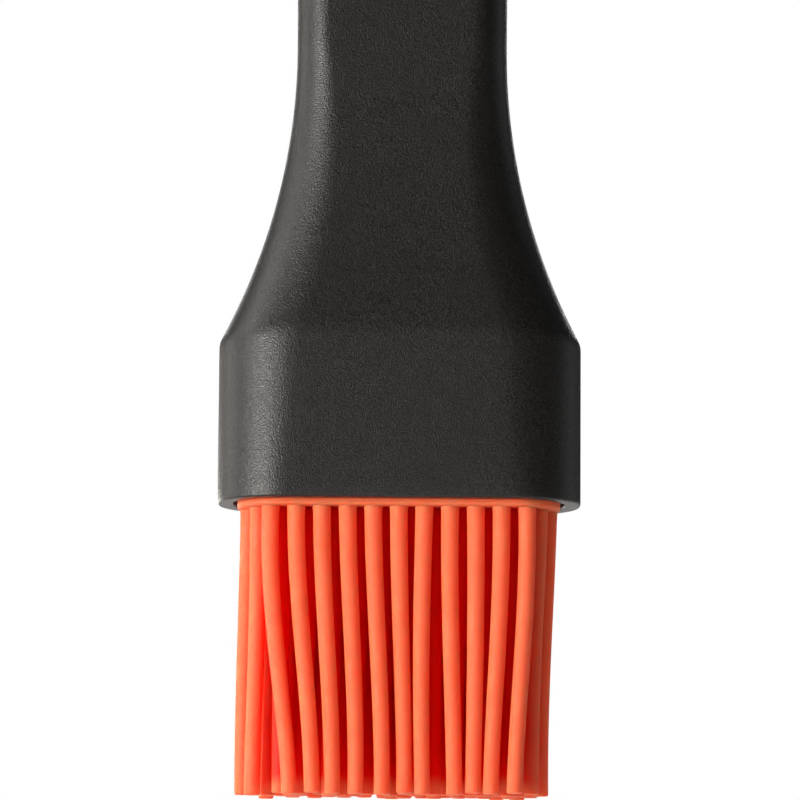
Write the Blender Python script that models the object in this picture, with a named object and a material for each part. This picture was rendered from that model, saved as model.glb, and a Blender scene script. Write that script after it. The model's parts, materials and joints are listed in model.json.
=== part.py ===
"""Pastry brush: a one-piece nylon handle whose socket holds a silicone bristle head.

+Z runs up the handle, X goes across the head, and the front faces -Y.
The origin is the centre of the hanging slot, from which the brush hangs with its bristles down.
Heights are measured up from the rim, the mouth of the socket, and placed by up(). Units are metres.
"""
import math

import bmesh
import bpy
from mathutils import Matrix

# Handle, from the rim to its rounded end.
HANDLE_LENGTH = 0.183
SLOT_TO_END = 0.014
SLOT_HALF_WIDTH = 0.004
SLOT_HALF_HEIGHT = 0.007

# Head block, the rectangular box at the handle's lower end.
BLOCK_HALF_WIDTH = 0.0181
BLOCK_HALF_DEPTH = 0.0077
BLOCK_CORNER = (0.0063, 0.0071)
BLOCK_HEIGHT = 0.0160
SHOULDER_RISE = 0.0007

# Neck, where the flare above the block has come in to the grip.
NECK_HEIGHT = 0.0460
NECK_HALF_WIDTH = 0.01056
NECK_HALF_DEPTH = 0.0057
NECK_CORNER = (0.0031, 0.0037)

# Grip, which swells between the neck and the end.
GRIP_SWELL_WIDTH = 0.0024
GRIP_SWELL_DEPTH = 0.0016
GRIP_CORNER_SHARE = 0.93
END_ROUND_HEIGHT = 0.0105
END_EDGE_HEIGHT = 0.0045
END_CAP_SHARE = 0.16

# Socket and the silicone plug that it holds.
SOCKET_WALL = 0.0016
SOCKET_DEPTH = 0.0134
FIT_GAP = 0.0004
FLANGE_DROP = 0.00055
FLANGE_TOP = 0.0010
PLUG_STEP = 0.0007
PLUG_HEIGHT = 0.0108
RIB_HEIGHTS = (0.0034, 0.0062, 0.0090)
RIB_THICKNESS = 0.0010

# Nylon core pressed into the plug from above: a cap plate on a flat blade.
CORE_GAP = 0.0003
CORE_CAP_THICKNESS = 0.0012
BLADE_HALF_WIDTH = 0.0128
BLADE_HALF_DEPTH = 0.0023
BLADE_CORNER = 0.0018
BLADE_BOTTOM = 0.0022

# Bristles: staggered rows, the widest in the middle, each (count, pitch) from front to back.
ROWS = ((11, 0.00252), (12, 0.00252), (13, 0.002475), (12, 0.00252), (11, 0.00252))
ROW_SPACING = 0.00219
TIP_DROP = 0.0289
ROOT_RADIUS = 0.00095
TIP_RADIUS = 0.00075
WEB_RADIUS = 0.0007
WEB_END = 0.0005
WEB_GAP = 0.0003

CORNER_STEPS = 7
FLARE_STEPS = 11
GRIP_STEPS = 13
END_STEPS = 7
BRISTLE_SIDES = 8
CUTTER_OVERRUN = 0.003

RIM_Z = SLOT_TO_END - HANDLE_LENGTH
SMOOTH_ANGLE = math.radians(32)


def up(height):
    """World Z of a height above the rim."""
    return RIM_Z + height


def clear_scene():
    for item in list(bpy.data.objects):
        bpy.data.objects.remove(item, do_unlink=True)


def new_collection(name):
    collection = bpy.data.collections.new(name)
    bpy.context.scene.collection.children.link(collection)
    return collection


def new_material(name, colour, roughness):
    material = bpy.data.materials.new(name)
    material.use_nodes = True
    shader = material.node_tree.nodes["Principled BSDF"]
    shader.inputs["Base Color"].default_value = (*colour, 1.0)
    shader.inputs["Roughness"].default_value = roughness
    shader.inputs["Metallic"].default_value = 0.0
    return material


def outline(half_x, half_y, corner):
    """A rectangle's outline with elliptical corners, anticlockwise seen from +Z."""
    points = []
    centres = ((1, 1), (-1, 1), (-1, -1), (1, -1))
    for quarter, (side_x, side_y) in enumerate(centres):
        for step in range(CORNER_STEPS + 1):
            angle = math.pi / 2 * (quarter + step / CORNER_STEPS)
            x = side_x * (half_x - corner[0]) + corner[0] * math.cos(angle)
            y = side_y * (half_y - corner[1]) + corner[1] * math.sin(angle)
            points.append((x, y))
    return points


def link_mesh(name, mesh, collection, material=None):
    item = bpy.data.objects.new(name, mesh)
    collection.objects.link(item)
    if material:
        mesh.materials.append(material)
    return item


def loft(name, rings, collection, material=None):
    """A closed body through rings of equal length, listed from its low end to its high end."""
    body = bmesh.new()
    loops = [[body.verts.new(point) for point in ring] for ring in rings]
    for low, high in zip(loops, loops[1:]):
        for index in range(len(low)):
            after = (index + 1) % len(low)
            body.faces.new((low[index], low[after], high[after], high[index]))
    body.faces.new(list(reversed(loops[0])))
    body.faces.new(loops[-1])
    mesh = bpy.data.meshes.new(name)
    body.to_mesh(mesh)
    body.free()
    return link_mesh(name, mesh, collection, material)


def plate(name, points, low, high, collection, material=None):
    """A flat outline extruded between two heights above the rim."""
    curve = bpy.data.curves.new(name, "CURVE")
    curve.dimensions = "2D"
    curve.fill_mode = "BOTH"
    curve.extrude = (high - low) / 2
    spline = curve.splines.new("POLY")
    spline.points.add(len(points) - 1)
    for point, (x, y) in zip(spline.points, points):
        point.co = (x, y, 0.0, 1.0)
    spline.use_cyclic_u = True
    source = bpy.data.objects.new(name, curve)
    collection.objects.link(source)
    source.location.z = up((low + high) / 2)
    bpy.context.view_layer.update()
    evaluated = source.evaluated_get(bpy.context.evaluated_depsgraph_get())
    mesh = bpy.data.meshes.new_from_object(evaluated)
    weld = bmesh.new()
    weld.from_mesh(mesh)
    bmesh.ops.remove_doubles(weld, verts=weld.verts, dist=1e-6)
    weld.to_mesh(mesh)
    weld.free()
    place = source.matrix_world.copy()
    bpy.data.objects.remove(source, do_unlink=True)
    item = link_mesh(name, mesh, collection, material)
    item.matrix_world = place
    return item


def combine(item, tool, operation):
    """Adds or cuts a tool shape, which then shows as wire only."""
    modifier = item.modifiers.new(tool.name, "BOOLEAN")
    modifier.operation = operation
    modifier.solver = "EXACT"
    modifier.object = tool
    tool.hide_render = True
    tool.display_type = "WIRE"


def smooth(item):
    item.data.shade_smooth()
    item.data.set_sharp_from_angle(angle=SMOOTH_ANGLE)


def mix(start, end, share):
    return start + (end - start) * share


def handle_ring(height, half_x, half_y, corner, rise=0.0):
    """A handle section; its front and back stand higher than its sides by the rise."""
    ring = []
    for x, y in outline(half_x, half_y, corner):
        ring.append((x, y, up(height + rise * (y / half_y) ** 2)))
    return ring


def block_rings():
    size = (BLOCK_HALF_WIDTH, BLOCK_HALF_DEPTH, BLOCK_CORNER)
    return [handle_ring(0.0, *size), handle_ring(BLOCK_HEIGHT, *size, SHOULDER_RISE)]


def flare_rings():
    """From the shoulder to the neck, the sides follow a circle tangent to the neck."""
    reach = BLOCK_HALF_WIDTH - NECK_HALF_WIDTH
    span = NECK_HEIGHT - BLOCK_HEIGHT
    radius = (reach ** 2 + span ** 2) / (2 * reach)
    rings = []
    for step in range(1, FLARE_STEPS + 1):
        below_neck = span * (1 - step / FLARE_STEPS)
        share = (below_neck / span) ** 2
        half_x = NECK_HALF_WIDTH + radius - math.sqrt(radius ** 2 - below_neck ** 2)
        half_y = mix(NECK_HALF_DEPTH, BLOCK_HALF_DEPTH, share)
        corner = [mix(neck, block, below_neck / span) for neck, block in zip(NECK_CORNER, BLOCK_CORNER)]
        rise = SHOULDER_RISE * below_neck / span
        rings.append(handle_ring(NECK_HEIGHT - below_neck, half_x, half_y, corner, rise))
    return rings


def grip_size(height):
    """Half width and half depth of the grip, which is thickest half way up."""
    swell = math.sin(math.pi * (height - NECK_HEIGHT) / (HANDLE_LENGTH - NECK_HEIGHT)) ** 2
    return NECK_HALF_WIDTH + GRIP_SWELL_WIDTH * swell, NECK_HALF_DEPTH + GRIP_SWELL_DEPTH * swell


def grip_corner(height, half_x, half_y):
    """Corners grow from the neck's until the section is nearly an oval."""
    share = min(1.0, 2 * (height - NECK_HEIGHT) / (HANDLE_LENGTH - NECK_HEIGHT))
    ease = share * share * (3 - 2 * share)
    corner_x = mix(NECK_CORNER[0], GRIP_CORNER_SHARE * half_y, ease)
    corner_y = mix(NECK_CORNER[1], GRIP_CORNER_SHARE * half_y, ease)
    return corner_x, corner_y


def grip_rings():
    top = HANDLE_LENGTH - END_ROUND_HEIGHT
    rings = []
    for step in range(1, GRIP_STEPS + 1):
        height = mix(NECK_HEIGHT, top, step / GRIP_STEPS)
        half_x, half_y = grip_size(height)
        rings.append(handle_ring(height, half_x, half_y, grip_corner(height, half_x, half_y)))
    return rings


def round_off(height, start, end):
    """Share of full size left on a quarter ellipse that closes between two heights."""
    along = max(0.0, (height - start) / (end - start))
    return math.sqrt(max(0.0, 1 - along ** 2))


def end_rings():
    """The end closes as a half round seen from the front, with a tighter edge in the side view."""
    last = math.asin(1 - END_CAP_SHARE ** 2)
    rings = []
    for step in range(1, END_STEPS + 1):
        height = HANDLE_LENGTH - END_ROUND_HEIGHT * (1 - math.sin(last * step / END_STEPS))
        full_x, full_y = grip_size(height)
        half_x = full_x * round_off(height, HANDLE_LENGTH - END_ROUND_HEIGHT, HANDLE_LENGTH)
        half_y = full_y * round_off(height, HANDLE_LENGTH - END_EDGE_HEIGHT, HANDLE_LENGTH)
        corner_x, corner_y = grip_corner(height, full_x, half_y)
        corner = (min(corner_x, GRIP_CORNER_SHARE * half_x), corner_y)
        rings.append(handle_ring(height, half_x, half_y, corner))
    return rings


def inset(amount):
    """The head block's outline moved inwards by one distance all round."""
    corner = (BLOCK_CORNER[0] - amount, BLOCK_CORNER[1] - amount)
    return outline(BLOCK_HALF_WIDTH - amount, BLOCK_HALF_DEPTH - amount, corner)


def build_handle(parts, cutters, material):
    rings = block_rings() + flare_rings() + grip_rings() + end_rings()
    handle = loft("handle", rings, parts, material)
    socket = plate("socket_cut", inset(SOCKET_WALL), -CUTTER_OVERRUN, SOCKET_DEPTH, cutters)
    combine(handle, socket, "DIFFERENCE")
    combine(handle, slot_cutter(cutters), "DIFFERENCE")
    smooth(handle)
    return handle


def slot_cutter(cutters):
    """A stadium across the slot, standing through the grip from front to back."""
    points = outline(SLOT_HALF_WIDTH, SLOT_HALF_HEIGHT, (SLOT_HALF_WIDTH * 0.999, SLOT_HALF_WIDTH))
    reach = BLOCK_HALF_DEPTH + CUTTER_OVERRUN
    slot = plate("slot_cut", points, -reach, reach, cutters)
    slot.matrix_world = Matrix.Rotation(math.pi / 2, 4, "X")
    return slot


def build_silicone_base(parts, cutters, material):
    """Flange at the mouth, plug with three grip ribs, and a pocket for the core."""
    flange_inset = SOCKET_WALL + FIT_GAP
    plug_inset = flange_inset + PLUG_STEP
    base = plate("silicone_base", inset(flange_inset), -FLANGE_DROP, FLANGE_TOP, parts, material)
    plug = plate("plug_body", inset(plug_inset), 0.0, PLUG_HEIGHT, cutters)
    combine(base, plug, "UNION")
    for number, height in enumerate(RIB_HEIGHTS, start=1):
        top = height + RIB_THICKNESS
        rib = plate(f"grip_rib_{number}", inset(flange_inset), height, top, cutters)
        combine(base, rib, "UNION")
    corner = (BLADE_CORNER + CORE_GAP, BLADE_CORNER + CORE_GAP)
    points = outline(BLADE_HALF_WIDTH + CORE_GAP, BLADE_HALF_DEPTH + CORE_GAP, corner)
    top = PLUG_HEIGHT + CUTTER_OVERRUN
    pocket = plate("core_pocket", points, BLADE_BOTTOM - CORE_GAP, top, cutters)
    combine(base, pocket, "DIFFERENCE")
    smooth(base)
    return base


def build_core(parts, cutters, material):
    """Cap plate just above the plug, and the blade that stiffens it."""
    cap_low = PLUG_HEIGHT + CORE_GAP
    cap_high = cap_low + CORE_CAP_THICKNESS
    cap_inset = SOCKET_WALL + FIT_GAP + PLUG_STEP
    core = plate("head_core", inset(cap_inset), cap_low, cap_high, parts, material)
    points = outline(BLADE_HALF_WIDTH, BLADE_HALF_DEPTH, (BLADE_CORNER, BLADE_CORNER))
    middle = (cap_low + cap_high) / 2
    blade = plate("core_blade", points, BLADE_BOTTOM, middle, cutters)
    combine(core, blade, "UNION")
    smooth(core)
    return core


def web_height():
    """Height of the bending line of every row, just under the flange."""
    return -FLANGE_DROP - WEB_GAP - WEB_RADIUS


def bristle_set(name, count, pitch, cutters):
    """Tapered bristles hanging from the bending line, spaced evenly along X."""
    length = TIP_DROP + web_height()
    shapes = bmesh.new()
    for index in range(count):
        x = (index - (count - 1) / 2) * pitch
        place = Matrix.Translation((x, 0.0, -length / 2))
        bmesh.ops.create_cone(shapes, cap_ends=True, segments=BRISTLE_SIDES, radius1=TIP_RADIUS,
                              radius2=ROOT_RADIUS, depth=length, matrix=place)
    mesh = bpy.data.meshes.new(name)
    shapes.to_mesh(mesh)
    shapes.free()
    return link_mesh(name, mesh, cutters)


def build_row(number, parts, cutters, material):
    """One row: a thin web along the bending line with its bristles. Its origin is on that line."""
    count, pitch = ROWS[number - 1]
    name = f"bristle_row_{number}"
    length = (count - 1) * pitch + 2 * WEB_END
    web = bmesh.new()
    turn = Matrix.Rotation(math.pi / 2, 4, "Y")
    bmesh.ops.create_cone(web, cap_ends=True, segments=BRISTLE_SIDES, radius1=WEB_RADIUS,
                          radius2=WEB_RADIUS, depth=length, matrix=turn)
    mesh = bpy.data.meshes.new(name)
    web.to_mesh(mesh)
    web.free()
    row = link_mesh(name, mesh, parts, material)
    bristles = bristle_set(f"{name}_bristles", count, pitch, cutters)
    bristles.parent = row
    combine(row, bristles, "UNION")
    row.location = (0.0, (number - (len(ROWS) + 1) / 2) * ROW_SPACING, up(web_height()))
    smooth(row)
    return row


def build_brush():
    clear_scene()
    parts = new_collection("pastry_brush")
    cutters = new_collection("pastry_brush_cutters")
    black_nylon = new_material("black_nylon", (0.033, 0.030, 0.027), 0.55)
    core_nylon = new_material("core_nylon", (0.62, 0.58, 0.50), 0.5)
    coral_silicone = new_material("coral_silicone", (0.87, 0.13, 0.05), 0.45)
    head = bpy.data.objects.new("bristle_head", None)
    parts.objects.link(head)
    build_handle(parts, cutters, black_nylon)
    head_parts = [build_silicone_base(parts, cutters, coral_silicone)]
    head_parts.append(build_core(parts, cutters, core_nylon))
    for number in range(1, len(ROWS) + 1):
        head_parts.append(build_row(number, parts, cutters, coral_silicone))
    for item in head_parts:
        item.parent = head


build_brush()
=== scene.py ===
"""Looks of the pastry brush: spark-grained nylon handle, nylon core, and a coral silicone bristle head."""
import json
import math

import bmesh
import bpy
import numpy as np
from mathutils import Matrix, Vector


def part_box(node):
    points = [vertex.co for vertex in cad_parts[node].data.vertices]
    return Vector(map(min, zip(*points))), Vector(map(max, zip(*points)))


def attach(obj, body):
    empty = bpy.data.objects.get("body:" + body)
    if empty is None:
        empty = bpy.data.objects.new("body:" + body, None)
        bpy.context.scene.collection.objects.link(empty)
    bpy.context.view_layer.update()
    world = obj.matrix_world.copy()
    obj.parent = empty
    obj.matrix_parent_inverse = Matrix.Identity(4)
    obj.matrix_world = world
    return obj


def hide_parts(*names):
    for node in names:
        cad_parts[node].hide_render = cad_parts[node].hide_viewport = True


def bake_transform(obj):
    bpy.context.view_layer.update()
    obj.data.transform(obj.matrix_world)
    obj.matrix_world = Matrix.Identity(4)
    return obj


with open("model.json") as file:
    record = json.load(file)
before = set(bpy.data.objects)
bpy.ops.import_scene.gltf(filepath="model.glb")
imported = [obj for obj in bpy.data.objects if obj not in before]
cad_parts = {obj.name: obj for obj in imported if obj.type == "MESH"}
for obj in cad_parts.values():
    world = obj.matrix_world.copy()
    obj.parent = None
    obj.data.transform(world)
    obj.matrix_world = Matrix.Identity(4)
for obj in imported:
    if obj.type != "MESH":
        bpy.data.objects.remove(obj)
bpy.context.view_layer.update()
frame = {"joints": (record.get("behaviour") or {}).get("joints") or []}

MM = 0.001

# ---------------------------------------------------------------- places read from the frame
HANDLE_LOW, HANDLE_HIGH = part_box("handle")
BASE_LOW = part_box("silicone_base")[0]
RIM_Z = HANDLE_LOW.z
HANDLE_LENGTH = HANDLE_HIGH.z - RIM_Z
BLOCK_HALF_WIDTH = HANDLE_HIGH.x
BLOCK_HALF_DEPTH = HANDLE_HIGH.y
FLANGE_Z = BASE_LOW.z
TIP_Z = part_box("bristle_row_3")[0].z
JOINTS = {joint["name"]: joint for joint in frame["joints"]}

# ---------------------------------------------------------------- handle sizes, heights from the rim
BLOCK_HEIGHT = 16.1 * MM
SHOULDER_RISE = 0.6 * MM
NECK_HEIGHT = 46.0 * MM
NECK_HALF_WIDTH = 10.56 * MM
NECK_HALF_DEPTH = 5.7 * MM
GRIP_SWELL_WIDTH = 2.4 * MM
GRIP_SWELL_DEPTH = 1.6 * MM
END_ROUND_HEIGHT = 10.8 * MM
END_EDGE_HEIGHT = 4.6 * MM
# A power of 2 makes a corner a true ellipse, and more fills it out.
CORNER_POWER = 2.05
RIM_CORNER = 7.0 * MM
SHOULDER_CORNER = 8.3 * MM
NECK_CORNER = 3.4 * MM
SIDE_FLAT = 0.5 * MM
NECK_SIDE_FLAT = 1.4 * MM
GRIP_CORNER_SHARE = 0.96
CREASE_SOFTNESS = 0.30 * MM
CREASE_REACH = 1.0 * MM
RIM_ROUND = 0.22 * MM
# The grip's rings stand closer over this run below its rounded end, which stops just short of a point.
END_RUN = 12 * MM
END_TURN = math.radians(87)

# ---------------------------------------------------------------- socket, base and core sizes
SOCKET_WALL = 1.6 * MM
SOCKET_DEPTH = 13.4 * MM
FLANGE_INSET = 2.0 * MM
PLUG_INSET = 2.7 * MM
FLANGE_TOP = 1.0 * MM
LIP_ROUND = 0.32 * MM
PLUG_HEIGHT = 10.8 * MM
RIB_HEIGHTS = (3.4 * MM, 6.2 * MM, 9.0 * MM)
RIB_THICKNESS = 1.0 * MM
STEP_ROUND = 0.1 * MM
CORE_GAP = 0.3 * MM
BLADE_HALF_WIDTH = 12.8 * MM
BLADE_HALF_DEPTH = 2.3 * MM
BLADE_BOTTOM = 2.2 * MM
BLADE_CORNER = 1.8 * MM
CAP_THICKNESS = 1.2 * MM
EDGE_ROUND = 0.25 * MM

# ---------------------------------------------------------------- slot
SLOT_HALF_WIDTH = 4.0 * MM
SLOT_HALF_HEIGHT = 7.0 * MM
SLOT_ROUND = 1.1 * MM
SLOT_STEPS = 64
# Where the slot's rings stand, as shares of the way to the face: one outside it, and the rest close
# together along its rounded edge.
SLOT_SHARES = (1.12, 1.0, 0.985, 0.96, 0.93, 0.89, 0.85, 0.81)

# ---------------------------------------------------------------- bristles
# Bristles in each row, front to back: each row stands about half a space along from the next.
ROW_COUNTS = (11, 12, 13, 12, 11)
ROOT_RADIUS = 0.88 * MM
TIP_RADIUS = 0.77 * MM
ROOT_SINK = 0.25 * MM
TIP_ROUND = 0.2 * MM
FOOT_SPREAD = 0.04 * MM
FOOT_SHARE = 0.035
LENGTH_SPREAD = 0.12 * MM
ROD_SIDES = 20
ROD_RINGS = 30
SHANK_RINGS = 0.8
# Sideways lean of each front bristle's tip, left to right: the outer ones lean towards the middle.
FRONT_LEANS = [lean * MM for lean in (2.1, 1.8, 1.25, 1.0, 1.05, 0.7, -0.05, 0.55, -0.15, -0.95, -1.15)]
FRONT_BOWS = [bow * MM for bow in (-0.35, -0.1, 0.0, 0.1, 0.05, 0.0, -0.2, -0.1, 0.1, 0.15, 0.2)]
# The other rows take their leans and bows by chance, and every row leans to the front or back by chance:
# these are the ranges, in millimetres.
LEAN_RANGE = (-0.75, 0.05)
BOW_RANGE = (-0.2, 0.2)
DEPTH_LEAN_RANGE = (-0.35, 0.35)
CHANCE_SEED = 7
# The first and last bristles of the other rows lean by a set amount, so that the head's outline is even.
END_LEANS = (-0.4 * MM, -0.7 * MM)
# The outer two bristles at each end of the front and back rows stand in a little, round the corner.
END_SETBACKS = (0.3 * MM, 0.05 * MM)
BUNDLE_HALF_WIDTH = 16.2 * MM
BUNDLE_HALF_DEPTH = 5.35 * MM
# A way in from the bundle's ends or up from its tips counts as this share of a way in from its faces, for the
# painted shade red.
END_GLOW_SHARE = 0.36
TIP_GLOW_SHARE = 0.8

# ---------------------------------------------------------------- mesh steps round each section
CORNER_STEPS = 18
FLAT_STEPS = 14
SIDE_STEPS = 2


# ================================================================ shapes
def mix(start, end, share):
    return start + (end - start) * share


def ease(share):
    share = min(1.0, max(0.0, share))
    return share * share * (3 - 2 * share)


def soft_min(first, second, softness):
    """The smaller of two lengths, with the change from one to the other rounded."""
    near = max(softness - abs(first - second), 0.0) / softness
    return min(first, second) - near * near * softness / 4


def section(half_x, half_y, corner_x, corner_y):
    """A rounded rectangle as an array of points, anticlockwise, starting on the +X side."""
    points = []
    flats = (SIDE_STEPS, FLAT_STEPS, SIDE_STEPS, FLAT_STEPS)
    quarters = ((1, 1), (-1, 1), (-1, -1), (1, -1))
    for quarter, (side_x, side_y) in enumerate(quarters):
        for step in range(CORNER_STEPS + 1):
            angle = math.pi / 2 * (quarter + step / CORNER_STEPS)
            bend_x = abs(math.cos(angle)) ** (2 / CORNER_POWER)
            bend_y = abs(math.sin(angle)) ** (2 / CORNER_POWER)
            x = side_x * (half_x - corner_x + corner_x * bend_x)
            y = side_y * (half_y - corner_y + corner_y * bend_y)
            points.append((x, y))
        steps = flats[(quarter + 1) % 4]
        after_x, after_y = quarters[(quarter + 1) % 4]
        along_front = quarter % 2 == 0
        end = (after_x * (half_x - corner_x), y) if along_front else (x, after_y * (half_y - corner_y))
        for step in range(1, steps):
            points.append((mix(x, end[0], step / steps), mix(y, end[1], step / steps)))
    return np.array(points)


def inset(points, amount):
    """An outline moved inwards by one distance, along its own normals."""
    tangent = np.roll(points, -1, axis=0) - np.roll(points, 1, axis=0)
    tangent /= np.linalg.norm(tangent, axis=1)[:, None]
    outward = np.stack([tangent[:, 1], -tangent[:, 0]], axis=1)
    return points - outward * amount


def raised(points, height):
    """An outline as a ring at a height above the rim."""
    return np.column_stack([points, np.full(len(points), RIM_Z + height)])


def loft(name, rings):
    """A closed smooth body through rings of equal length, capped at both ends."""
    count = len(rings[0])
    faces = []
    for layer in range(len(rings) - 1):
        low, high = layer * count, (layer + 1) * count
        for index in range(count):
            after = (index + 1) % count
            faces.append((low + index, low + after, high + after, high + index))
    faces.append(tuple(range(count)))
    faces.append(tuple(range((len(rings) - 1) * count, len(rings) * count)))
    mesh = bpy.data.meshes.new(name)
    mesh.from_pydata([tuple(point) for ring in rings for point in ring], [], faces)
    body = bmesh.new()
    body.from_mesh(mesh)
    bmesh.ops.remove_doubles(body, verts=body.verts, dist=1e-7)
    bmesh.ops.recalc_face_normals(body, faces=body.faces)
    body.to_mesh(mesh)
    body.free()
    item = bpy.data.objects.new(name, mesh)
    bpy.context.collection.objects.link(item)
    smooth(item)
    return item


def smooth(item, degrees=38):
    item.data.shade_smooth()
    item.data.set_sharp_from_angle(angle=math.radians(degrees))


def keep_rest_place(item):
    """Stores where each point of a piece is at rest, so that its pattern and painted shade stay put as it
    bends.
    """
    places = np.array([point.co[:] for point in item.data.vertices], np.float32)
    item.data.attributes.new("rest_place", "FLOAT_VECTOR", "POINT").data.foreach_set("vector", places.ravel())


# ================================================================ handle
def handle_halves(height):
    """Half width and half depth of the handle at a height above the rim."""
    if height >= NECK_HEIGHT:
        swell = math.sin(math.pi * (height - NECK_HEIGHT) / (HANDLE_LENGTH - NECK_HEIGHT)) ** 2
        return NECK_HALF_WIDTH + GRIP_SWELL_WIDTH * swell, NECK_HALF_DEPTH + GRIP_SWELL_DEPTH * swell
    reach = BLOCK_HALF_WIDTH - NECK_HALF_WIDTH
    span = NECK_HEIGHT - BLOCK_HEIGHT
    radius = (reach ** 2 + span ** 2) / (2 * reach)
    below = NECK_HEIGHT - height
    arc_x = NECK_HALF_WIDTH + radius - math.sqrt(radius ** 2 - below ** 2)
    arc_y = NECK_HALF_DEPTH + (BLOCK_HALF_DEPTH - NECK_HALF_DEPTH) * (below / span) ** 2
    half_x = soft_min(BLOCK_HALF_WIDTH, arc_x, CREASE_SOFTNESS)
    half_y = soft_min(BLOCK_HALF_DEPTH, arc_y, CREASE_SOFTNESS / 3)
    return half_x, half_y


def handle_corner(height, half_y):
    """Corner sizes across X and Y: they grow up the block, shrink up the flare and end nearly oval."""
    if height < BLOCK_HEIGHT:
        return mix(RIM_CORNER, SHOULDER_CORNER, height / BLOCK_HEIGHT), half_y - SIDE_FLAT
    if height < NECK_HEIGHT:
        share = (NECK_HEIGHT - height) / (NECK_HEIGHT - BLOCK_HEIGHT)
        return mix(NECK_CORNER, SHOULDER_CORNER, share), half_y - mix(NECK_SIDE_FLAT, SIDE_FLAT, share)
    share = ease(2 * (height - NECK_HEIGHT) / (HANDLE_LENGTH - NECK_HEIGHT))
    corner_x = mix(NECK_CORNER, GRIP_CORNER_SHARE * half_y, share)
    corner_y = mix(half_y - NECK_SIDE_FLAT, GRIP_CORNER_SHARE * half_y, share)
    return corner_x, corner_y


def shoulder_rise(height):
    """How much higher the section's front stands than its sides, most at the shoulder."""
    if height < BLOCK_HEIGHT:
        return SHOULDER_RISE * height / BLOCK_HEIGHT
    return SHOULDER_RISE * max(0.0, (NECK_HEIGHT - height) / (NECK_HEIGHT - BLOCK_HEIGHT))


def handle_ring(height):
    """The handle's outline at a height above the rim, drawn in towards the rounded end."""
    half_x, half_y = handle_halves(height)
    corner_x, corner_y = handle_corner(height, half_y)
    round_start = HANDLE_LENGTH - END_ROUND_HEIGHT
    if height > round_start:
        share = (height - round_start) / END_ROUND_HEIGHT
        half_x *= math.sqrt(1 - share ** 2)
    edge_start = HANDLE_LENGTH - END_EDGE_HEIGHT
    if height > edge_start:
        share = (height - edge_start) / END_EDGE_HEIGHT
        half_y *= math.sqrt(1 - share ** 2)
    corner_x = min(corner_x, GRIP_CORNER_SHARE * half_x)
    corner_y = min(corner_y, GRIP_CORNER_SHARE * half_y)
    points = section(half_x, half_y, corner_x, corner_y)
    ring = raised(points, height)
    ring[:, 2] += shoulder_rise(height) * (points[:, 1] / half_y) ** 2
    return ring


def handle_heights():
    """Heights of the outer rings: close together at the crease and towards the rounded end."""
    crease_low, crease_high = BLOCK_HEIGHT - CREASE_REACH, BLOCK_HEIGHT + CREASE_REACH
    round_start = HANDLE_LENGTH - END_ROUND_HEIGHT
    heights = list(np.linspace(RIM_ROUND, crease_low - 0.2 * MM, 16))
    heights += list(np.linspace(crease_low, crease_high, 17))
    heights += list(np.linspace(crease_high + 0.6 * MM, NECK_HEIGHT, 44))
    heights += list(np.linspace(NECK_HEIGHT, round_start - END_RUN, 72))[1:]
    heights += list(np.linspace(round_start - END_RUN, round_start, 16))[1:]
    for angle in np.linspace(0, END_TURN, 30)[1:]:
        heights.append(HANDLE_LENGTH - END_ROUND_HEIGHT * (1 - math.sin(angle)))
    return heights


def quarter_angles(steps):
    """Angles from nothing to a quarter turn, both ends included."""
    return [math.pi / 2 * step / steps for step in range(steps + 1)]


def rim_outline():
    """The socket block's outline at its lower rim."""
    return section(BLOCK_HALF_WIDTH, BLOCK_HALF_DEPTH, RIM_CORNER, BLOCK_HALF_DEPTH - SIDE_FLAT)


def handle_rings():
    """Rings from the socket's ceiling down its wall, round the rim and up the outside to the end."""
    rim = rim_outline()
    rings = []
    for angle in quarter_angles(3):
        depth = SOCKET_WALL + EDGE_ROUND * (1 - math.sin(angle))
        height = SOCKET_DEPTH - EDGE_ROUND * (1 - math.cos(angle))
        rings.append(raised(inset(rim, depth), height))
    for angle in quarter_angles(4):
        depth = SOCKET_WALL - RIM_ROUND * (1 - math.cos(angle))
        rings.append(raised(inset(rim, depth), RIM_ROUND * (1 - math.sin(angle))))
    for angle in quarter_angles(4)[:-1]:
        depth = RIM_ROUND * (1 - math.sin(angle))
        rings.append(raised(inset(rim, depth), RIM_ROUND * (1 - math.cos(angle))))
    return rings + [handle_ring(height) for height in handle_heights()]


def slot_ring(share):
    """The slot's outline at a share of the way from the middle to the face; it flares at the face."""
    # The rounding is cut off just before it would lie level with the face, so that the edge is clean.
    start = SLOT_ROUND * 0.07
    reach = math.sqrt(SLOT_ROUND ** 2 - (SLOT_ROUND - start) ** 2)
    _, face = handle_halves(-RIM_Z)
    below_face = face * (1 - abs(share)) + start
    if below_face > SLOT_ROUND:
        flare = 0.0
    elif below_face > start:
        flare = SLOT_ROUND - math.sqrt(SLOT_ROUND ** 2 - (SLOT_ROUND - below_face) ** 2)
    else:
        flare = SLOT_ROUND - reach + (start - below_face) * (SLOT_ROUND - start) / reach
    half_x, half_z = SLOT_HALF_WIDTH + flare, SLOT_HALF_HEIGHT + flare
    ring = []
    for step in range(SLOT_STEPS):
        angle = 2 * math.pi * step / SLOT_STEPS
        x = half_x * math.cos(angle)
        lift = math.copysign(half_z - half_x, math.sin(angle)) if step % (SLOT_STEPS // 2) else 0.0
        z = half_x * math.sin(angle) + lift
        _, local = handle_halves(z - RIM_Z)
        ring.append((x, share * local, z))
    return np.array(ring)


def cut_slot(handle):
    """The handle as a plain mesh with the hanging slot cut through its grip."""
    shares = [-share for share in SLOT_SHARES] + [0.0] + list(reversed(SLOT_SHARES))
    cutter = loft("slot_cutter", [slot_ring(share) for share in shares])
    modifier = handle.modifiers.new("slot", "BOOLEAN")
    modifier.operation = "DIFFERENCE"
    modifier.solver = "EXACT"
    modifier.object = cutter
    return bake(handle, "nylon_handle", [cutter])


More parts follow.
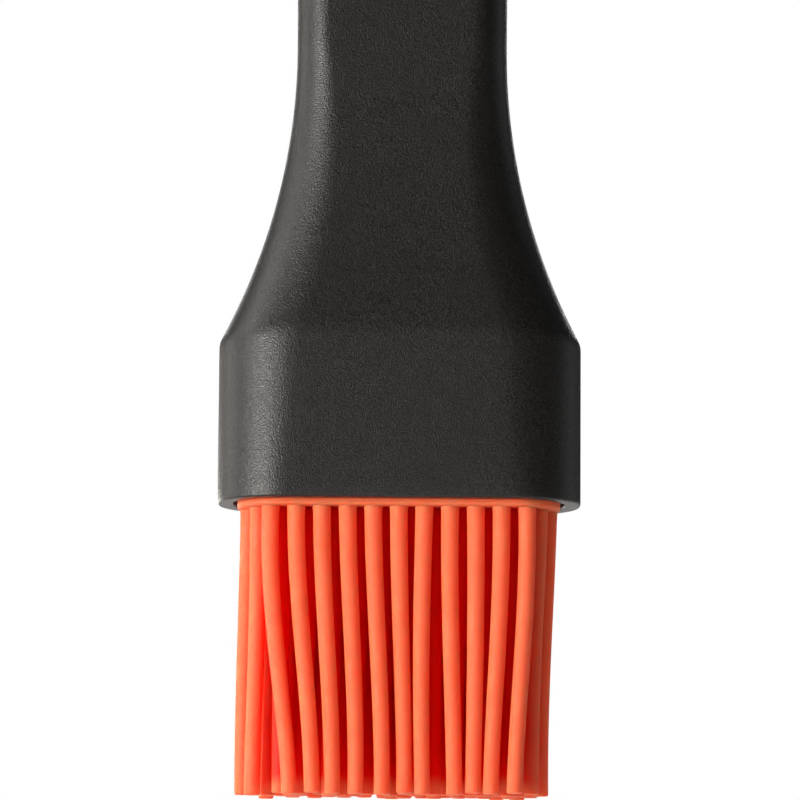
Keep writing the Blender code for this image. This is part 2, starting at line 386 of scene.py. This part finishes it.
def bake(item, name, tools=()):
    """A plain mesh object of what an object's modifiers make; the source and its tools are removed."""
    bpy.context.view_layer.update()
    evaluated = item.evaluated_get(bpy.context.evaluated_depsgraph_get())
    mesh = bpy.data.meshes.new_from_object(evaluated)
    mesh.name = name
    for used in (item, *tools):
        bpy.data.objects.remove(used, do_unlink=True)
    made = bpy.data.objects.new(name, mesh)
    bpy.context.collection.objects.link(made)
    return made


# ================================================================ silicone base and nylon core
def base_profile():
    """(inset, height) down the plug's outside and round the lip, from the plug's top to the underside."""
    profile = [(PLUG_INSET + EDGE_ROUND, PLUG_HEIGHT), (PLUG_INSET, PLUG_HEIGHT - EDGE_ROUND)]
    # A rib slopes out from the plug at its top, and is nearly flat underneath.
    crest = FLANGE_INSET
    for low in reversed(RIB_HEIGHTS):
        top = low + RIB_THICKNESS
        profile += [(PLUG_INSET, top + 0.05 * MM), (crest + 0.25 * MM, top - 0.2 * MM)]
        profile += [(crest, top - 0.45 * MM), (crest, low + 0.15 * MM), (crest + 0.15 * MM, low)]
        profile += [(PLUG_INSET, low - 0.05 * MM)]
    profile += [(PLUG_INSET, FLANGE_TOP + STEP_ROUND), (PLUG_INSET - STEP_ROUND, FLANGE_TOP)]
    profile += [(FLANGE_INSET + STEP_ROUND, FLANGE_TOP), (FLANGE_INSET, FLANGE_TOP - STEP_ROUND)]
    bottom = FLANGE_Z - RIM_Z
    for angle in quarter_angles(6):
        inwards = LIP_ROUND * (1 - math.cos(angle))
        profile.append((FLANGE_INSET + inwards, bottom + LIP_ROUND * (1 - math.sin(angle))))
    return profile


def make_base():
    """Flange, ribbed plug and pocket as one loft, from the pocket's floor round to the underside."""
    corner = BLADE_CORNER + CORE_GAP
    pocket = section(BLADE_HALF_WIDTH + CORE_GAP, BLADE_HALF_DEPTH + CORE_GAP, corner, corner)
    rings = [raised(pocket, BLADE_BOTTOM - CORE_GAP), raised(pocket, PLUG_HEIGHT - EDGE_ROUND)]
    rings.append(raised(inset(pocket, -EDGE_ROUND), PLUG_HEIGHT))
    rim = rim_outline()
    rings += [raised(inset(rim, depth), height) for depth, height in base_profile()]
    plug = loft("silicone_plug", rings)
    keep_rest_place(plug)
    return plug


def make_core():
    """Cap plate and blade of the core, with their edges slightly rounded."""
    cap = inset(rim_outline(), PLUG_INSET)
    blade = section(BLADE_HALF_WIDTH, BLADE_HALF_DEPTH, BLADE_CORNER, BLADE_CORNER)
    low, high = PLUG_HEIGHT + CORE_GAP, PLUG_HEIGHT + CORE_GAP + CAP_THICKNESS
    rings = [raised(inset(blade, EDGE_ROUND), BLADE_BOTTOM), raised(blade, BLADE_BOTTOM + EDGE_ROUND)]
    rings += [raised(blade, low - EDGE_ROUND), raised(inset(blade, -EDGE_ROUND), low)]
    rings += [raised(inset(cap, EDGE_ROUND), low), raised(cap, low + EDGE_ROUND)]
    rings += [raised(cap, high - EDGE_ROUND), raised(inset(cap, EDGE_ROUND), high)]
    return loft("stiffening_core", rings)


# ================================================================ nodes
# A colour mix takes its share at socket 0, and its two colours at sockets 6 and 7.
MATH = "ShaderNodeMath"
MIX = "ShaderNodeMix"
NOISE = "ShaderNodeTexNoise"
SPAN = "ShaderNodeMapRange"


def add_node(tree, kind, inputs=None, **settings):
    """Adds a node with its settings; inputs maps a socket to a value or to the socket that feeds it."""
    made = tree.nodes.new(kind)
    for name, value in settings.items():
        setattr(made, name, value)
    for key, value in (inputs or {}).items():
        if isinstance(value, bpy.types.NodeSocket):
            tree.links.new(value, made.inputs[key])
        else:
            made.inputs[key].default_value = value
    return made


def linear(hex_colour):
    """An sRGB hex colour as linear red, green, blue and alpha."""
    channels = [int(hex_colour[start:start + 2], 16) / 255 for start in (1, 3, 5)]
    powers = [c / 12.92 if c <= 0.04045 else ((c + 0.055) / 1.055) ** 2.4 for c in channels]
    return (*powers, 1.0)


# ================================================================ bristles, made by a node tree
def bristle_tree():
    """Stands a tapered rod on each point of a row, then leans and bows it by the point's own values."""
    tree = bpy.data.node_groups.new("bristle_row", "GeometryNodeTree")
    face = tree.interface
    face.new_socket("Geometry", in_out="INPUT", socket_type="NodeSocketGeometry")
    for name in ("Root Radius", "Tip Radius", "Foot", "Length", "Tip Round", "Length Spread"):
        face.new_socket(name, in_out="INPUT", socket_type="NodeSocketFloat")
    for name in ("Sides", "Rings"):
        face.new_socket(name, in_out="INPUT", socket_type="NodeSocketInt")
    face.new_socket("Material", in_out="INPUT", socket_type="NodeSocketMaterial")
    face.new_socket("Geometry", in_out="OUTPUT", socket_type="NodeSocketGeometry")
    sizes = add_node(tree, "NodeGroupInput").outputs
    rod = add_node(tree, "GeometryNodeMeshCylinder", {
        "Vertices": sizes["Sides"], "Side Segments": sizes["Rings"], "Radius": 1.0, "Depth": 1.0},
        fill_type="TRIANGLE_FAN")
    shaped = shape_rod(tree, rod.outputs["Mesh"], sizes)
    points = add_node(tree, "GeometryNodeMeshToPoints", {"Mesh": sizes["Geometry"]})
    stood = add_node(tree, "GeometryNodeInstanceOnPoints", {
        "Points": points.outputs["Points"], "Instance": shaped})
    whole = add_node(tree, "GeometryNodeRealizeInstances", {"Geometry": stood.outputs["Instances"]})
    leant = lean_rods(tree, whole.outputs["Geometry"], sizes)
    finished = add_node(tree, "GeometryNodeSetMaterial", {"Geometry": leant, "Material": sizes["Material"]})
    add_node(tree, "NodeGroupOutput", {"Geometry": finished.outputs["Geometry"]})
    return tree


def shape_rod(tree, rod, sizes):
    """Turns a unit cylinder into a tapered rod hanging from the origin, with a rounded tip edge."""
    spot = add_node(tree, "GeometryNodeInputPosition")
    place = add_node(tree, "ShaderNodeSeparateXYZ", {0: spot.outputs[0]})
    count = add_node(tree, MATH, {0: 0.5, 1: place.outputs["Z"]}, operation="SUBTRACT")
    # The first four fifths of the rings are the shank, and the rest turn in round the tip's edge.
    tip_share = add_node(tree, MATH, {0: sizes["Tip Round"], 1: sizes["Length"]}, operation="DIVIDE")
    shank_share = add_node(tree, MATH, {0: 1.0, 1: tip_share.outputs[0]}, operation="SUBTRACT")
    shank = add_node(tree, SPAN, {
        "Value": count.outputs[0], "From Min": 0.0, "From Max": SHANK_RINGS,
        "To Min": 0.0, "To Max": shank_share.outputs[0]})
    tip_turn = add_node(tree, SPAN, {
        "Value": count.outputs[0], "From Min": SHANK_RINGS, "From Max": 1.0,
        "To Min": 0.0, "To Max": math.pi / 2})
    tip_sine = add_node(tree, MATH, {0: tip_turn.outputs[0]}, operation="SINE")
    along = add_node(tree, MATH, {
        0: tip_sine.outputs[0], 1: tip_share.outputs[0], 2: shank.outputs[0]}, operation="MULTIPLY_ADD")
    taper = add_node(tree, MATH, {0: sizes["Tip Radius"], 1: sizes["Root Radius"]}, operation="SUBTRACT")
    tapered = add_node(tree, MATH, {
        0: taper.outputs[0], 1: along.outputs[0], 2: sizes["Root Radius"]}, operation="MULTIPLY_ADD")
    tip_cosine = add_node(tree, MATH, {0: tip_turn.outputs[0]}, operation="COSINE")
    turn_in = add_node(tree, MATH, {0: tip_cosine.outputs[0], 1: 1.0}, operation="SUBTRACT")
    rounded = add_node(tree, MATH, {
        0: turn_in.outputs[0], 1: sizes["Tip Round"], 2: tapered.outputs[0]}, operation="MULTIPLY_ADD")
    # The shank widens a little where it leaves the flange.
    near_root = add_node(tree, SPAN, {
        "Value": along.outputs[0], "From Min": 0.0, "From Max": FOOT_SHARE, "To Min": 1.0, "To Max": 0.0})
    foot = add_node(tree, MATH, {0: near_root.outputs[0], 1: 2.0}, operation="POWER")
    radius = add_node(tree, MATH, {
        0: foot.outputs[0], 1: sizes["Foot"], 2: rounded.outputs[0]}, operation="MULTIPLY_ADD")
    drop = add_node(tree, MATH, {0: along.outputs[0], 1: sizes["Length"]}, operation="MULTIPLY")
    down = add_node(tree, MATH, {0: drop.outputs[0], 1: -1.0}, operation="MULTIPLY")
    x = add_node(tree, MATH, {0: place.outputs["X"], 1: radius.outputs[0]}, operation="MULTIPLY")
    y = add_node(tree, MATH, {0: place.outputs["Y"], 1: radius.outputs[0]}, operation="MULTIPLY")
    shaped = add_node(tree, "ShaderNodeCombineXYZ", {
        "X": x.outputs[0], "Y": y.outputs[0], "Z": down.outputs[0]})
    # The share along the rod is kept before its points move, because the lean needs it afterwards.
    kept = add_node(tree, "GeometryNodeStoreNamedAttribute", {
        "Geometry": rod, "Name": "along", "Value": along.outputs[0]})
    moved = add_node(tree, "GeometryNodeSetPosition", {
        "Geometry": kept.outputs["Geometry"], "Position": shaped.outputs[0]})
    return moved.outputs["Geometry"]


def lean_rods(tree, rods, sizes):
    """Moves each rod's points sideways: not at all at the root, and by the full lean at the tip."""
    names = ("along", "lean_x", "bow_x", "lean_y", "drop")
    kept = {name: add_node(tree, "GeometryNodeInputNamedAttribute", {"Name": name}).outputs["Attribute"]
            for name in names}
    bend = add_node(tree, SPAN, {"Value": kept["along"]}, interpolation_type="SMOOTHSTEP")
    half_turn = add_node(tree, MATH, {0: kept["along"], 1: math.pi}, operation="MULTIPLY")
    arch = add_node(tree, MATH, {0: half_turn.outputs[0]}, operation="SINE")
    lean = add_node(tree, MATH, {0: kept["lean_x"], 1: bend.outputs[0]}, operation="MULTIPLY")
    side = add_node(tree, MATH, {
        0: kept["bow_x"], 1: arch.outputs[0], 2: lean.outputs[0]}, operation="MULTIPLY_ADD")
    back = add_node(tree, MATH, {0: kept["lean_y"], 1: bend.outputs[0]}, operation="MULTIPLY")
    drop = add_node(tree, MATH, {0: kept["drop"], 1: kept["along"]}, operation="MULTIPLY")
    longer = add_node(tree, MATH, {0: drop.outputs[0], 1: sizes["Length Spread"]}, operation="MULTIPLY")
    offset = add_node(tree, "ShaderNodeCombineXYZ", {
        "X": side.outputs[0], "Y": back.outputs[0], "Z": longer.outputs[0]})
    moved = add_node(tree, "GeometryNodeSetPosition", {"Geometry": rods, "Offset": offset.outputs[0]})
    return moved.outputs["Geometry"]


def row_points(number, rng):
    """One vertex for each bristle of a row, with its lean, bow and length kept as attributes."""
    low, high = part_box(f"bristle_row_{number}")
    place = JOINTS[f"bristle_bend_{number}"]["pos_m"]
    count = ROW_COUNTS[number - 1]
    first, last = low.x + ROOT_RADIUS, high.x - ROOT_RADIUS
    lean_x = rng.uniform(*LEAN_RANGE, count) * MM
    lean_x[[0, -1]] = END_LEANS
    bow_x = rng.uniform(*BOW_RANGE, count) * MM
    lean_y = rng.uniform(*DEPTH_LEAN_RANGE, count) * MM
    if number == 1:
        lean_x, bow_x = np.array(FRONT_LEANS), np.array(FRONT_BOWS)
    outer_row = number in (1, len(ROW_COUNTS))
    points = []
    for index in range(count):
        from_end = min(index, count - 1 - index)
        setback = END_SETBACKS[from_end] if outer_row and from_end < len(END_SETBACKS) else 0.0
        y = place[1] + math.copysign(setback, -place[1])
        points.append((mix(first, last, index / (count - 1)), y, FLANGE_Z + ROOT_SINK))
    mesh = bpy.data.meshes.new("row_points")
    mesh.from_pydata(points, [], [])
    values = {"lean_x": lean_x, "bow_x": bow_x, "lean_y": lean_y, "drop": rng.uniform(-1, 1, count)}
    for name, numbers in values.items():
        mesh.attributes.new(name, "FLOAT", "POINT").data.foreach_set("value", numbers.astype(np.float32))
    return mesh


def make_row(number, tree, material, rng):
    """One row of bristles as a plain mesh, made by the node tree on the row's points."""
    source = bpy.data.objects.new("row_source", row_points(number, rng))
    bpy.context.collection.objects.link(source)
    modifier = source.modifiers.new("bristles", "NODES")
    modifier.node_group = tree
    values = {
        "Root Radius": ROOT_RADIUS, "Tip Radius": TIP_RADIUS, "Foot": FOOT_SPREAD,
        "Length": FLANGE_Z + ROOT_SINK - TIP_Z, "Tip Round": TIP_ROUND, "Length Spread": LENGTH_SPREAD,
        "Sides": ROD_SIDES, "Rings": ROD_RINGS, "Material": material}
    for socket in tree.interface.items_tree:
        if socket.in_out == "INPUT" and socket.name in values:
            modifier[socket.identifier] = values[socket.name]
    row = bake(source, f"bristles_{number}")
    smooth(row, degrees=50)
    keep_rest_place(row)
    return row


# ================================================================ materials
def new_material(name):
    """A new material, its node tree and its main shader."""
    material = bpy.data.materials.new(name)
    material.use_nodes = True
    tree = material.node_tree
    return material, tree, tree.nodes["Principled BSDF"]


def black_nylon():
    """Moulded black nylon from a spark-eroded mould: satin and warm black, finely gritty where light
    catches it, with a faint speckle in its tone and a few paler flecks."""
    material, tree, shader = new_material("spark_grained_black_nylon")
    place = add_node(tree, "ShaderNodeTexCoord").outputs["Object"]
    # The grain of the mould's finish is 0.1 to 0.2 mm across.
    grit = add_node(tree, NOISE, {"Vector": place, "Scale": 1 / (0.14 * MM), "Detail": 1.0})
    speckle = add_node(tree, NOISE, {"Vector": place, "Scale": 1 / (0.19 * MM), "Detail": 1.0})
    cloud = add_node(tree, NOISE, {"Vector": place, "Scale": 1 / (6 * MM), "Detail": 2.0})
    cells = add_node(tree, "ShaderNodeTexVoronoi", {"Vector": place, "Scale": 1 / (0.5 * MM)})
    speckled = add_node(tree, SPAN, {"Value": speckle.outputs["Fac"], "From Min": 0.38, "From Max": 0.64})
    clouded = add_node(tree, SPAN, {
        "Value": cloud.outputs["Fac"], "From Min": 0.35, "From Max": 0.65, "To Max": 0.5})
    flecked = add_node(tree, SPAN, {
        "Value": cells.outputs["Distance"], "From Min": 0.08, "From Max": 0.2, "To Min": 0.5, "To Max": 0.0})
    tone = add_node(tree, MIX, {
        0: speckled.outputs[0], 6: linear("#080808"), 7: linear("#22201E")}, data_type="RGBA")
    tone = add_node(tree, MIX, {
        0: clouded.outputs[0], 6: tone.outputs[2], 7: linear("#141312")}, data_type="RGBA")
    tone = add_node(tree, MIX, {
        0: flecked.outputs[0], 6: tone.outputs[2], 7: linear("#3A3631")}, data_type="RGBA")
    satin = add_node(tree, SPAN, {
        "Value": grit.outputs["Fac"], "From Min": 0.32, "From Max": 0.68, "To Min": 0.30, "To Max": 0.50})
    bump = add_node(tree, "ShaderNodeBump", {"Height": grit.outputs["Fac"], "Distance": 0.05 * MM})
    tree.links.new(tone.outputs[2], shader.inputs["Base Color"])
    tree.links.new(satin.outputs[0], shader.inputs["Roughness"])
    tree.links.new(bump.outputs["Normal"], shader.inputs["Normal"])
    shader.inputs["IOR"].default_value = 1.53
    shader.inputs["Specular IOR Level"].default_value = 0.4
    return material


def natural_nylon():
    """Unpigmented moulded nylon: creamy, slightly waxy, with faint flow mottling."""
    material, tree, shader = new_material("natural_moulded_nylon")
    place = add_node(tree, "ShaderNodeTexCoord").outputs["Object"]
    # Flow marks are about 3 mm across, and the mould's finish under half a millimetre.
    mottle = add_node(tree, NOISE, {"Vector": place, "Scale": 1 / (3 * MM), "Detail": 3.0})
    grit = add_node(tree, NOISE, {"Vector": place, "Scale": 1 / (0.4 * MM), "Detail": 2.0})
    flow = add_node(tree, SPAN, {"Value": mottle.outputs["Fac"], "From Min": 0.3, "From Max": 0.7})
    tone = add_node(tree, MIX, {
        0: flow.outputs[0], 6: linear("#D8CFBC"), 7: linear("#E6DFCF")}, data_type="RGBA")
    waxy = add_node(tree, SPAN, {
        "Value": mottle.outputs["Fac"], "From Min": 0.3, "From Max": 0.7, "To Min": 0.38, "To Max": 0.5})
    bump = add_node(tree, "ShaderNodeBump", {
        "Height": grit.outputs["Fac"], "Distance": 0.01 * MM, "Strength": 0.5})
    tree.links.new(tone.outputs[2], shader.inputs["Base Color"])
    tree.links.new(waxy.outputs[0], shader.inputs["Roughness"])
    tree.links.new(bump.outputs["Normal"], shader.inputs["Normal"])
    shader.inputs["IOR"].default_value = 1.53
    shader.inputs["Subsurface Weight"].default_value = 0.2
    shader.inputs["Subsurface Radius"].default_value = (0.9, 0.8, 0.6)
    shader.inputs["Subsurface Scale"].default_value = 1.0 * MM
    return material


def coral_silicone():
    """Cured silicone rubber with coral pigment: satin and soft to the light, with a painted deep red inside
    the bundle that stands in for the shade there, where only red light gets through the bristles around it."""
    material, tree, shader = new_material("coral_silicone_rubber")
    rest_place = add_node(tree, "ShaderNodeAttribute", attribute_name="rest_place").outputs["Vector"]
    # The pigment is uneven over about 2 mm, and the matt finish breaks up the shine over a third of one.
    mottle = add_node(tree, NOISE, {"Vector": rest_place, "Scale": 1 / (2.2 * MM), "Detail": 2.0})
    bloom = add_node(tree, NOISE, {"Vector": rest_place, "Scale": 1 / (0.35 * MM), "Detail": 2.0})
    uneven = add_node(tree, SPAN, {"Value": mottle.outputs["Fac"], "From Min": 0.3, "From Max": 0.7})
    coral = add_node(tree, MIX, {
        0: uneven.outputs[0], 6: linear("#F86B44"), 7: linear("#F97049")}, data_type="RGBA")
    depth = bundle_depth(tree, rest_place)
    # Painted shade: deeper in the bundle the coral turns to a saturated red, standing in for the shade and
    # red light between the bristles.
    painted_shade_share = add_node(tree, SPAN, {"Value": depth, "From Min": 0.5 * MM, "From Max": 1.8 * MM},
                     interpolation_type="SMOOTHSTEP")
    tone = add_node(tree, MIX, {
        0: painted_shade_share.outputs[0], 6: coral.outputs[2], 7: linear("#FF0C02")}, data_type="RGBA")
    satin = add_node(tree, SPAN, {
        "Value": bloom.outputs["Fac"], "From Min": 0.3, "From Max": 0.7, "To Min": 0.56, "To Max": 0.7})
    bump = add_node(tree, "ShaderNodeBump", {
        "Height": bloom.outputs["Fac"], "Distance": 0.008 * MM, "Strength": 0.5})
    tree.links.new(tone.outputs[2], shader.inputs["Base Color"])
    tree.links.new(satin.outputs[0], shader.inputs["Roughness"])
    tree.links.new(bump.outputs["Normal"], shader.inputs["Normal"])
    shader.inputs["IOR"].default_value = 1.41
    shader.inputs["Specular IOR Level"].default_value = 0.35
    shader.inputs["Subsurface Weight"].default_value = 1.0
    shader.inputs["Subsurface Radius"].default_value = (1.0, 0.04, 0.02)
    shader.inputs["Subsurface Scale"].default_value = 3.0 * MM
    return material


def bundle_depth(tree, rest_place):
    """How deep a point lies inside the bundle of bristles, counted less from its ends and its tips,
    where more light comes in: the mask for the painted shade red."""
    place = add_node(tree, "ShaderNodeSeparateXYZ", {0: rest_place})
    off_x = add_node(tree, MATH, {0: place.outputs["X"]}, operation="ABSOLUTE")
    off_y = add_node(tree, MATH, {0: place.outputs["Y"]}, operation="ABSOLUTE")
    end_gap = add_node(tree, MATH, {0: BUNDLE_HALF_WIDTH, 1: off_x.outputs[0]}, operation="SUBTRACT")
    to_end = add_node(tree, MATH, {0: end_gap.outputs[0], 1: END_GLOW_SHARE}, operation="MULTIPLY")
    to_face = add_node(tree, MATH, {0: BUNDLE_HALF_DEPTH, 1: off_y.outputs[0]}, operation="SUBTRACT")
    tip_gap = add_node(tree, MATH, {0: place.outputs["Z"], 1: TIP_Z}, operation="SUBTRACT")
    to_tips = add_node(tree, MATH, {0: tip_gap.outputs[0], 1: TIP_GLOW_SHARE}, operation="MULTIPLY")
    sideways = add_node(tree, MATH, {0: to_end.outputs[0], 1: to_face.outputs[0]}, operation="MINIMUM")
    least = add_node(tree, MATH, {0: sideways.outputs[0], 1: to_tips.outputs[0]}, operation="MINIMUM")
    return least.outputs[0]


# ================================================================ studio, with lengths in metres
CAMERA_DISTANCE = 0.450
CAMERA_BELOW_RIM = 0.0536
CAMERA_PITCH = math.radians(8.13)
CAMERA_ROLL = math.radians(0.42)
CAMERA_SIDE = 0.00003
CAMERA_LENS = 204.3
LIGHT_DISTANCE = 1.0
FLOOR_BELOW_TIPS = 0.06
FLOOR_SIZE = 40.0
# How much of the floor that the camera sees is its own glow.
FLOOR_GLOW = 0.96


def make_camera():
    """A long lens a little below the head, looking slightly up at it."""
    camera = bpy.data.objects.new("camera", bpy.data.cameras.new("camera"))
    bpy.context.collection.objects.link(camera)
    camera.location = (CAMERA_SIDE, -CAMERA_DISTANCE, RIM_Z - CAMERA_BELOW_RIM)
    aim = Matrix.Rotation(math.pi / 2 + CAMERA_PITCH, 4, "X") @ Matrix.Rotation(CAMERA_ROLL, 4, "Z")
    camera.rotation_euler = aim.to_euler()
    camera.data.lens = CAMERA_LENS
    camera.data.sensor_width = 36.0
    camera.data.clip_start = 0.01
    camera.data.clip_end = 50.0
    bpy.context.scene.camera = camera


def make_light(name, azimuth, elevation, size, power, colour="#FFFFFF"):
    """A soft box aimed at the head; azimuth is 0 in front and 90 on the right, elevation 90 above."""
    azimuth, elevation = math.radians(azimuth), math.radians(elevation)
    away = Vector((math.sin(azimuth) * math.cos(elevation), -math.cos(azimuth) * math.cos(elevation),
                   math.sin(elevation)))
    light = bpy.data.lights.new(name, "AREA")
    light.shape = "RECTANGLE"
    light.size, light.size_y = size
    light.energy = power
    light.color = linear(colour)[:3]
    item = bpy.data.objects.new(name, light)
    bpy.context.collection.objects.link(item)
    item.location = Vector((0, 0, RIM_Z)) + away * LIGHT_DISTANCE
    item.rotation_euler = away.to_track_quat("Z", "Y").to_euler()


def make_floor():
    """A wide pale tabletop, as a light table looks: nearly white to the eye, with the softest of shadows."""
    body = bmesh.new()
    bmesh.ops.create_grid(body, x_segments=1, y_segments=1, size=FLOOR_SIZE)
    mesh = bpy.data.meshes.new("studio_floor")
    body.to_mesh(mesh)
    body.free()
    floor = bpy.data.objects.new("studio_floor", mesh)
    bpy.context.collection.objects.link(floor)
    floor.location.z = TIP_Z - FLOOR_BELOW_TIPS
    material, tree, shader = new_material("light_table")
    shader.inputs["Base Color"].default_value = linear("#F8F7F5")
    shader.inputs["Roughness"].default_value = 0.8
    glow = add_node(tree, "ShaderNodeEmission", {"Color": linear("#F8F7F5"), "Strength": 1.0})
    seen = add_node(tree, "ShaderNodeLightPath").outputs["Is Camera Ray"]
    share = add_node(tree, MATH, {0: seen, 1: FLOOR_GLOW}, operation="MULTIPLY")
    surface = add_node(tree, "ShaderNodeMixShader", {
        0: share.outputs[0], 1: shader.outputs[0], 2: glow.outputs[0]})
    tree.links.new(surface.outputs[0], tree.nodes["Material Output"].inputs["Surface"])
    mesh.materials.append(material)


def make_world():
    """White behind everything, and a dimmer even light from all round."""
    world = bpy.data.worlds.new("studio")
    bpy.context.scene.world = world
    world.use_nodes = True
    tree = world.node_tree
    tree.nodes.clear()
    seen = add_node(tree, "ShaderNodeBackground", {"Color": (1.0, 1.0, 1.0, 1.0), "Strength": 1.0})
    cast = add_node(tree, "ShaderNodeBackground", {"Color": (1.0, 0.98, 0.96, 1.0), "Strength": 0.05})
    path = add_node(tree, "ShaderNodeLightPath")
    both = add_node(tree, "ShaderNodeMixShader", {
        0: path.outputs["Is Camera Ray"], 1: cast.outputs[0], 2: seen.outputs[0]})
    add_node(tree, "ShaderNodeOutputWorld", {"Surface": both.outputs[0]})


def make_studio():
    """White world, light table and soft boxes, of which the key stands low at the front left."""
    bpy.context.scene.view_settings.view_transform = "Standard"
    make_world()
    make_floor()
    make_light("key", -46, 0.6, (0.42, 0.2), 13.0, "#FFFBF6")
    make_light("left_side", -112, 6, (0.35, 0.39), 2.4, "#FFFAF4")
    make_light("back_left", -160, 0, (0.35, 0.15), 3.2, "#FFF8F0")
    make_light("right", 112, 9, (0.5, 0.42), 0.4)
    make_light("top_left", -88, 38, (0.5, 0.4), 4.0)
    make_light("back", 180, 30, (0.7, 0.5), 7.0)


# ================================================================ assembly
def finish_piece(piece, material, body, node):
    """Gives a piece its material, and says which body it rides on, which finish it takes and which solid
    it replaces. A row of bristles rides on no one body, because it bends from one to another."""
    piece.data.materials.clear()
    piece.data.materials.append(material)
    if body:
        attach(piece, body)
    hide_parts(node)


def build():
    """Makes the handle, then the head's base, core and rows, and hands each to the frame."""
    silicone = coral_silicone()
    handle = cut_slot(loft("handle_blank", handle_rings()))
    smooth(handle)
    finish_piece(handle, black_nylon(), "handle", "handle")
    finish_piece(make_base(), silicone, "bristle_head", "silicone_base")
    finish_piece(make_core(), natural_nylon(), "bristle_head", "head_core")
    tree = bristle_tree()
    rng = np.random.default_rng(CHANCE_SEED)
    for number in range(1, len(ROW_COUNTS) + 1):
        row = make_row(number, tree, silicone, rng)
        finish_piece(row, silicone, None, f"bristle_row_{number}")
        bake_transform(row)


build()
make_camera()
make_studio()
